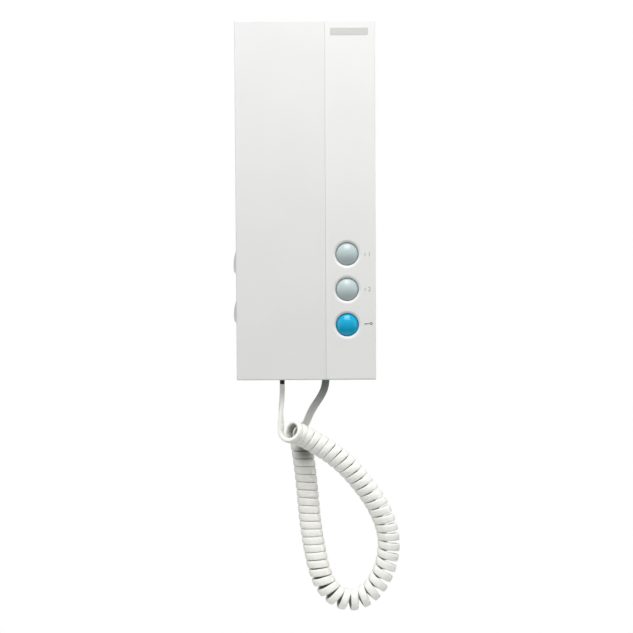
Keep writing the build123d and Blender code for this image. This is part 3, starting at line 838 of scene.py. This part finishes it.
def cutRearHoles(item, s, b):
    wall, past = b["wall"], b["wall"] + cutPast
    rings = [(s["screwRadius"], -cutPast), (s["screwRadius"], s["sinkDepth"])]
    rings += [(s["screwRim"], wall), (s["screwRim"], past)]
    for z in (s["screwHalf"], -s["screwHalf"]):  # countersunk, as seen from the room
        combine(item, faceFront(turnUp("cutter", rings, "countersink"), 0, z))
    left, right, low, high = s["entry"]
    entry = addBlock("cutter", (left, -past, low), (right, cutPast, high))
    bevelWhere(entry, runsInwards, s["entryRound"], 4)
    combine(item, entry)
    y, half, length = -s["slotDepth"], s["slotHalf"], s["slotHalfLength"]
    for z in s["slotZ"]:
        corner = (b["left"] - cutPast, y - half, z - length)
        combine(item, addBlock("cutter", corner, (b["left"] + past, y + half, z + length)))
    x, y, half = s["grommetX"], -s["grommetDepth"], s["grommetHalf"]
    corner = (x - half, y - half, -b["top"] - cutPast)
    combine(item, addBlock("cutter", corner, (x + half, y + half, -b["top"] + past)))


def addStand(item, x, z, half, front, s, b):  # a square rib or post on the back wall
    foot = -b["wall"] + s["rootDepth"]
    stand = addBlock("stand", (x - half, -front, z - half), (x + half, foot, z + half))
    combine(item, stand, "UNION")


def makeRearBase(s, b):
    low = (b["left"], -b["rear"], -b["top"])
    item = addBlock("rear_base_tray", low, (b["right"], 0, b["top"]))
    deleteFaces(item, lambda f: onPlane(f, 1, -b["rear"]))
    thicken(item, b["wall"])
    cutRearHoles(item, s, b)
    for x in s["ribX"]:  # rests of the main board
        for z in s["ribZ"]:
            addStand(item, x, z, s["ribHalf"], s["boardDepth"], s, b)
    addStand(item, b["cupX"], b["screwZ"], s["postHalf"], s["postFront"], s, b)
    rings = [(b["screwHole"], s["postFront"] - s["boreDepth"])]
    rings += [(b["screwHole"], s["postFront"] + cutPast)]
    combine(item, faceFront(turnUp("cutter", rings, "screw"), b["cupX"], b["screwZ"]))

    def outer(edge, depth):
        return onPlane(edge, 1, -depth) and onOutline(edge, b["left"], b["right"], b["top"])

    bevelWhere(item, lambda e: outer(e, 0), s["backRound"], 4)
    bevelWhere(item, lambda e: outer(e, b["rear"]), b["partingRound"], 2)
    smooth(item, weighted=True)
    place(item, "base", "case_plastic", finish["housingPlastic"], "rear_base")


makeRearBase(rearSizes, bodySizes)
print("rear base is made")


# Handset: an outer shell, and an inner one with a grip and two round cups

handsetSizes = {
    "left": -42.75,
    "right": 12.17,
    "split": 33.0,
    "back": 20.3,
    "wall": 1.8,
    "faceRound": 0.8,
    "backRound": 1.0,
    "partingRound": 0.3,
    "seamEdge": 100.0,  # the edge of the face beside the column is longer
    "partingEdge": 20.0,  # outer edges along the parting line are longer
    "gripDepth": 27.3,
    "gripHalf": 45.0,
    "gripRamp": 17.0,
    "gripMargin": 0.1,  # edges this little in front of the grip still count as behind it
    "rampSteps": 10,
    "cupRadius": 22.0,
    "cupBack": 14.8,
    "cupRound": 1.4,
    "cupArc": (30, 60, 90),
    "soundHoles": 6,
    "soundHole": 1.2,
    "soundCircle": 5.5,
    "bootHole": 1.75,
    "cordX": -15.0,
}


def boreForBoot(item, s, body):
    rings = [(s["bootHole"], -body["top"] - cutPast)]
    rings += [(s["bootHole"], -body["top"] + s["wall"] + cutPast)]
    combine(item, shift(turnUp("cutter", rings, "screw"), s["cordX"], -s["split"], 0))


def outerEdge(edge, s, body):  # an outer edge on the parting plane of the two shells
    outer = onOutline(edge, s["left"], s["right"], body["top"])
    return outer and onPlane(edge, 1, -s["split"]) and longerThan(edge, s["partingEdge"])


def makeOuterShell(s, body):
    low = (s["left"], -body["front"], -body["top"])
    item = addBlock("handset_face_shell", low, (s["right"], -s["split"], body["top"]))
    deleteFaces(item, lambda f: onPlane(f, 1, -s["split"]))
    thicken(item, s["wall"])
    boreForBoot(item, s, body)

    def onFace(edge):
        return onPlane(edge, 1, -body["front"])

    def seam(edge):
        return onFace(edge) and longerThan(edge, s["seamEdge"]) and edge.verts[0].co.x > 0

    bevelWhere(item, lambda e: onFace(e) and not onPlane(e, 0, s["right"]), s["faceRound"], 4)
    bevelWhere(item, seam, body["seamRound"], 3)
    bevelWhere(item, lambda e: outerEdge(e, s, body), s["partingRound"], 2)
    smooth(item, weighted=True)
    place(item, "handset", "case_plastic", finish["handsetPlastic"], "handset_outer_shell")


def sinkGrip(item, s):  # the hollow behind the grip, with a soft ramp at each end
    steps = s["rampSteps"]
    stations = [s["gripHalf"] - s["gripRamp"] * i / steps for i in range(steps + 1)]
    for z in stations + [-z for z in stations]:
        bisectAt(item, 2, z)

    def onStation(vertex, z):
        gaps = abs(vertex.co.z - z * mm), abs(vertex.co.y + s["back"] * mm)
        return max(gaps) < limits["atPoint"] * mm

    for i, station in enumerate(stations):
        sink = (s["gripDepth"] - s["back"]) * ease(i / steps)
        for z in (station, -station):
            pick(item, "VERT", lambda v: onStation(v, z))
            bpy.ops.transform.translate(value=(0, -sink * mm, 0))
            leaveEdit()


def addCups(item, s, body):
    rings = [(s["cupRadius"] - s["cupRound"], s["cupBack"])]
    for degrees in s["cupArc"]:
        inset, rise = 1 - sin(radians(degrees)), 1 - cos(radians(degrees))
        rings.append((s["cupRadius"] - s["cupRound"] * inset, s["cupBack"] + s["cupRound"] * rise))
    rings.append((s["cupRadius"], s["back"] + cutPast))
    for z in (body["cupZ"], -body["cupZ"]):
        combine(item, faceFront(turnUp("cup", rings, "cup"), body["cupX"], z), "UNION")


def boreForSound(item, s, body):  # a ring of holes round one at the earpiece, one for the voice
    spots = [(0, body["cupZ"]), (0, -body["cupZ"])]
    for i in range(s["soundHoles"]):
        a = 2 * pi / s["soundHoles"] * i
        spots.append((s["soundCircle"] * cos(a), body["cupZ"] + s["soundCircle"] * sin(a)))
    rings = [(s["soundHole"], s["cupBack"] - cutPast)]
    rings += [(s["soundHole"], s["cupBack"] + s["wall"] + cutPast)]
    for x, z in spots:
        combine(item, faceFront(turnUp("cutter", rings, "soundHole"), body["cupX"] + x, z))


def makeInnerShell(s, body):
    low = (s["left"], -s["split"], -body["top"])
    item = addBlock("handset_grip_shell", low, (s["right"], -s["back"], body["top"]))
    sinkGrip(item, s)
    addCups(item, s, body)
    deleteFaces(item, lambda f: onPlane(f, 1, -s["split"]))
    thicken(item, s["wall"])
    boreForSound(item, s, body)
    boreForBoot(item, s, body)

    def longSide(edge):
        behind = all(v.co.y > -(s["gripDepth"] + s["gripMargin"]) * mm for v in edge.verts)
        return behind and (onPlane(edge, 0, s["left"]) or onPlane(edge, 0, s["right"]))

    def shortSide(edge):
        ends = onPlane(edge, 2, body["top"]) or onPlane(edge, 2, -body["top"])
        return ends and onPlane(edge, 1, -s["back"])

    bevelWhere(item, lambda e: longSide(e) or shortSide(e), s["backRound"], 3)
    bevelWhere(item, lambda e: outerEdge(e, s, body), s["partingRound"], 2)
    smooth(item, weighted=True)
    place(item, "handset", "case_plastic", finish["handsetPlastic"], "handset_inner_shell")


makeOuterShell(handsetSizes, bodySizes)
makeInnerShell(handsetSizes, bodySizes)
print("handset shells are made")


# Push buttons: a glossy dome with a flange behind the front and a stem to its switch

def makeButtons(s):
    rise = s["top"] - s["edge"]
    ball = (s["radius"] ** 2 + rise ** 2) / rise / 2
    lean = asin(s["radius"] / ball)
    rings = [(s["stemRadius"], s["stemBack"]), (s["stemRadius"], s["flangeBack"])]
    rings += [(s["flangeRadius"], s["flangeBack"]), (s["flangeRadius"], s["flangeFront"])]
    rings += [(s["radius"], s["flangeFront"])]
    for i in range(s["domeSteps"]):
        a = lean * (1 - i / s["domeSteps"])
        rings.append((ball * sin(a), s["top"] - ball * (1 - cos(a))))
    rings.append((s["domeTip"], s["top"]))
    pattern = turnUp("pattern_cap", rings, "button")
    kinds = (
        ("upper_button", "grey_button", "greyButtonPlastic"),
        ("middle_button", "grey_button", "greyButtonPlastic"),
        ("door_button", "blue_button", "blueButtonPlastic"),
    )
    for (node, slot, look), z in zip(kinds, s["z"]):
        item = faceFront(copyOf(pattern, node + "_cap"), s["x"], z)
        smooth(item, s["smoothAngle"])
        place(item, node, slot, finish[look], node)
    bpy.data.objects.remove(pattern)


makeButtons(buttonSizes)
print("buttons are made")


# Side knobs: a long lens that rises gently from its upper end and drops at its lower end

knobSizes = {
    "z": (-37.9, -69.0),
    "foot": -43.3,
    "half": 8.1,
    "front": 10.9,
    "back": 5.9,
    "blank": 0.2,  # thickness of the strip that the lens is drawn out of
    "profile": (0.5, 0.95, 1.4, 1.8, 2.15, 2.35, 2.45, 2.4, 2.1, 0.7),
    "crowding": 1.15,
    "round": 0.35,
    "neckX": -37.6,
    "neckHalf": 1.0,
    "neckLength": 2.5,
    "neckDrop": 1.5,
    "depth": 8.4,
}


def makeKnobs(s):
    count = len(s["profile"]) - 1
    core = s["foot"] - s["blank"] / 2

    def onStation(vertex, z):
        return abs(vertex.co.z - z * mm) < limits["atPoint"] * mm and vertex.co.x < core * mm

    for node, middle in zip(("ringer_knob", "volume_knob"), s["z"]):
        upper, lower = middle + s["half"], middle - s["half"]
        low = (s["foot"] - s["blank"], -s["front"], lower)
        item = addBlock(node + "_lens", low, (s["foot"], -s["back"], upper))
        places = [(i / count) ** s["crowding"] for i in range(count + 1)]
        stations = [upper - 2 * s["half"] * share for share in places]
        for station in stations[1:-1]:
            bisectAt(item, 2, station)
        for station, rise in zip(stations, s["profile"]):
            pick(item, "VERT", lambda v: onStation(v, station))
            bpy.ops.transform.translate(value=(-(rise - s["blank"]) * mm, 0, 0))
            leaveEdit()
        bevelWhere(item, lambda e: all(v.co.x < core * mm for v in e.verts), s["round"], 3)
        y, z = -s["depth"], middle - s["neckDrop"]
        low = (core, y - s["neckHalf"], z - s["neckLength"])
        neck = addBlock("neck", low, (s["neckX"], y + s["neckHalf"], z + s["neckLength"]))
        combine(item, neck, "UNION")
        smooth(item, weighted=True)
        place(item, node, "knob_plastic", finish["knobPlastic"], node)


makeKnobs(knobSizes)
print("knobs are made")


# Boot of the handset's cord, with grooves, and its flange between the shells

bootSizes = {
    "length": 3.5,
    "top": 1.7,
    "end": 1.5,
    "endRound": 0.25,
    "grooves": 3,
    "firstGroove": 0.8,
    "grooveStep": 0.9,
    "grooveDepth": 0.16,
    "grooveShape": ((0, 0), (1, 0.15), (1, 0.35), (0, 0.5)),
    "rimGap": 0.1,
    "flange": (3.3, -108.2, -106.6),
    "crown": 0.4,
}


def makeBoot(s, h, body):
    rim, bottom = -body["top"], -body["top"] - s["length"]
    rings = [(s["end"] - s["endRound"], bottom), (s["end"], bottom + s["endRound"])]
    for i in range(s["grooves"]):
        z = bottom + s["firstGroove"] + i * s["grooveStep"]
        radius = s["end"] + (s["top"] - s["end"]) * (i + 1) / (s["grooves"] + 1)
        rings += [(radius - s["grooveDepth"] * cut, z + up) for cut, up in s["grooveShape"]]
    wide, low, high = s["flange"]
    rings += [(s["top"], rim - s["rimGap"]), (s["top"], low)]
    rings += [(wide, low), (wide, high), (s["crown"], high)]
    item = shift(turnUp("cord_boot", rings, "cordBoot"), h["cordX"], -h["split"], 0)
    smooth(item)
    place(item, "handset", "dark_rubber", finish["darkRubber"], "handset_cord_boot")


makeBoot(bootSizes, handsetSizes, bodySizes)
print("boot is made")


# Inlay and signs on the column

signSizes = {
    "face": 46.0,
    "inlay": (15.6, 38.8, 100.8, 105.3),
    "inlayRise": 0.12,
    "inlaySink": 0.4,
    "inlayCorner": 0.7,
    "inlayRound": 0.08,
    "x": 38.4,
    "z": (-32.9, -54.3, -75.4),
    "rise": 0.04,
    "sink": 0.05,
    "corner": 0.12,
    "digitSize": 4.0,
    "digitShift": 0.7,
    "mark": (-2.2, -0.9, -1.75, 0.9),
    "bowShift": 1.7,
    "bowRadius": 0.62,
    "bowWidth": 0.27,
    "bowFlatness": 0.12,
    "bowCorners": (28, 8),
    "keyBars": {
        "key_sign_shank": (-2.4, -0.22, 0.95, 0.22),
        "key_sign_bit": (-2.4, -0.95, -1.95, -0.1),
        "key_sign_tooth": (-1.35, -0.8, -0.95, -0.1),
    },
}


def placeSign(item, look):
    place(item, "base", "case_plastic", finish[look])


def makeInlay(s):
    left, right, low, high = s["inlay"]
    surface = -s["face"] - s["inlayRise"]
    corner = (right, -s["face"] + s["inlaySink"], high)
    item = addBlock("bare_inlay", (left, surface, low), corner)
    bevelWhere(item, runsInwards, s["inlayCorner"], 4)
    bevelWhere(item, lambda e: onPlane(e, 1, surface), s["inlayRound"], 2)
    smooth(item, weighted=True)
    placeSign(item, "plateLacquer")


def makeDigit(name, text, z, s):
    deselectAll()
    bpy.ops.object.text_add(location=(0, 0, 0))
    item = bpy.context.active_object
    item.name = name
    item.data.body = text
    item.data.align_x, item.data.align_y = "CENTER", "CENTER"
    item.data.size = s["digitSize"] * mm
    item.data.extrude = s["rise"] * mm
    bpy.ops.object.convert(target="MESH")
    item = bpy.context.active_object
    item.rotation_euler = (pi / 2, 0, 0)
    shift(item, s["x"] + s["digitShift"], -s["face"], z)
    placeSign(item, "paleInk")


def makeBar(name, box, z, look, s):  # a thin bar beside a button
    left, low, right, high = box
    corner = (s["x"] + left, -s["face"] - s["rise"], z + low)
    item = addBlock(name, corner, (s["x"] + right, -s["face"] + s["sink"], z + high))
    bevelWhere(item, runsInwards, s["corner"], 2)
    placeSign(item, look)


def makeKeySign(z, s):
    deselectAll()
    around, across = s["bowCorners"]
    bpy.ops.mesh.primitive_torus_add(
        major_radius=s["bowRadius"] * mm, minor_radius=s["bowWidth"] * mm,
        major_segments=around, minor_segments=across, rotation=(pi / 2, 0, 0),
        location=((s["x"] + s["bowShift"]) * mm, -s["face"] * mm, z * mm),
    )
    bow = bpy.context.active_object
    bow.name = "key_sign_bow"
    bow.scale = (1, 1, s["bowFlatness"])
    applyPlace(bow)
    placeSign(bow, "signInk")
    for name, box in s["keyBars"].items():
        makeBar(name, box, z, "signInk", s)


def makeSigns(s):
    upper, middle, lower = s["z"]
    makeDigit("sign_one", "1", upper, s)
    makeDigit("sign_two", "2", middle, s)
    makeBar("sign_one_mark", s["mark"], upper, "paleInk", s)
    makeBar("sign_two_mark", s["mark"], middle, "paleInk", s)
    makeKeySign(lower, s)


makeInlay(signSizes)
makeSigns(signSizes)
print("signs are made")


# Floor and light

lightSettings = {
    "key": {"place": (0.03, -0.45, 0.55), "size": 0.5, "power": 3.3},
    "overhead": {"place": (0.0, -0.28, 0.75), "size": 0.6, "power": 2.4},
    "left": {"place": (-0.9, -0.15, 0.0), "size": 0.8, "power": 1.5},
    "right": {"place": (0.9, -0.15, 0.0), "size": 0.8, "power": 1.5},
    "low": {
        "place": (0.01, -0.7, -0.5), "size": 0.12, "power": 0.009,
        "aim": (0.01, -0.02, -0.238), "spread": 16,
    },
}
lightAim = (0, 0, -0.05)
lightSpread = 180
worldSettings = {"below": 0.06, "above": 0.79, "white": (1, 1, 1, 1), "backdrop": 1.0}
floorSettings = {
    "radius": 420,
    "bottom": -630,
    "top": -620,
    "paint": {"color": (0.78, 0.78, 0.77), "roughness": 0.7, "mottle": 0.005, "grain": 0.01},
}


def makeLight(name, s):
    data = bpy.data.lights.new(name, "AREA")
    data.shape = "SQUARE"
    data.size = s["size"]
    data.energy = s["power"]
    data.spread = radians(s.get("spread", lightSpread))
    item = bpy.data.objects.new(name, data)
    item.location = s["place"]
    heading = Vector(s.get("aim", lightAim)) - item.location
    item.rotation_euler = heading.to_track_quat("-Z", "Y").to_euler()
    scene.collection.objects.link(item)


def makeWorld(s):  # a white room, brighter overhead, against a white backdrop
    world = bpy.data.worlds.new("studio")
    scene.world = world
    world.use_nodes = True
    tree = world.node_tree
    direction = addNode(tree, "ShaderNodeTexCoord").outputs["Generated"]
    height = addNode(tree, "ShaderNodeSeparateXYZ", links={"Vector": direction}).outputs["Z"]
    strength = {"From Min": -1, "From Max": 1, "To Min": s["below"], "To Max": s["above"]}
    span = addNode(tree, "ShaderNodeMapRange", values=strength, links={"Value": height})
    room = tree.nodes["Background"]
    room.inputs["Color"].default_value = s["white"]
    tree.links.new(span.outputs["Result"], room.inputs["Strength"])
    seen = {"Color": s["white"], "Strength": s["backdrop"]}
    backdrop = addNode(tree, "ShaderNodeBackground", values=seen)
    toCamera = addNode(tree, "ShaderNodeLightPath").outputs["Is Camera Ray"]
    sources = {0: toCamera, 1: room.outputs["Background"], 2: backdrop.outputs["Background"]}
    mix = addNode(tree, "ShaderNodeMixShader", links=sources)
    tree.links.new(mix.outputs["Shader"], tree.nodes["World Output"].inputs["Surface"])


def makeFloor(s):
    rings = [(s["radius"], s["bottom"]), (s["radius"], s["top"])]
    floor = turnUp("studio_floor", rings, "floor")
    floor.data.materials.append(makePlastic("floorPaint", s["paint"]))


makeWorld(worldSettings)
for lightName, settings in lightSettings.items():
    makeLight(lightName, settings)
makeFloor(floorSettings)
print("floor and lights are set")


# CAD nodes get their finish, also those that a piece of this script stands in for

nodeFinish = {
    "housingPlastic": ("rear_base", "front_housing"),
    "handsetPlastic": ("handset_outer_shell", "handset_inner_shell"),
    "greyButtonPlastic": ("upper_button", "middle_button"),
    "blueButtonPlastic": ("door_button",),
    "knobPlastic": ("hook_plunger", "ringer_knob", "volume_knob"),
    "cordPlastic": ("handset_cord_tail", "curly_cord", "base_cord_tail"),
    "darkRubber": ("base_cord_grommet", "microphone_holder", "handset_cord_boot"),
    "blackPlastic": (
        "board_header", "call_buzzer", "hook_switch", "upper_switch", "middle_switch",
        "door_switch", "ringer_switch", "volume_switch", "earpiece_frame",
    ),
    "boardLacquer": ("main_board", "button_board"),
    "terminalPlastic": ("terminal_block",),
    "filmPlastic": ("earpiece_diaphragm",),
    "steel": ("housing_screw", "terminal_screws", "earpiece_magnet", "microphone"),
}
for finishName, nodeNames in nodeFinish.items():
    for nodeName in nodeNames:
        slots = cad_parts[nodeName].data.materials
        slots.clear()
        slots.append(finish[finishName])
print("CAD nodes are finished:", sum(len(nodeNames) for nodeNames in nodeFinish.values()))
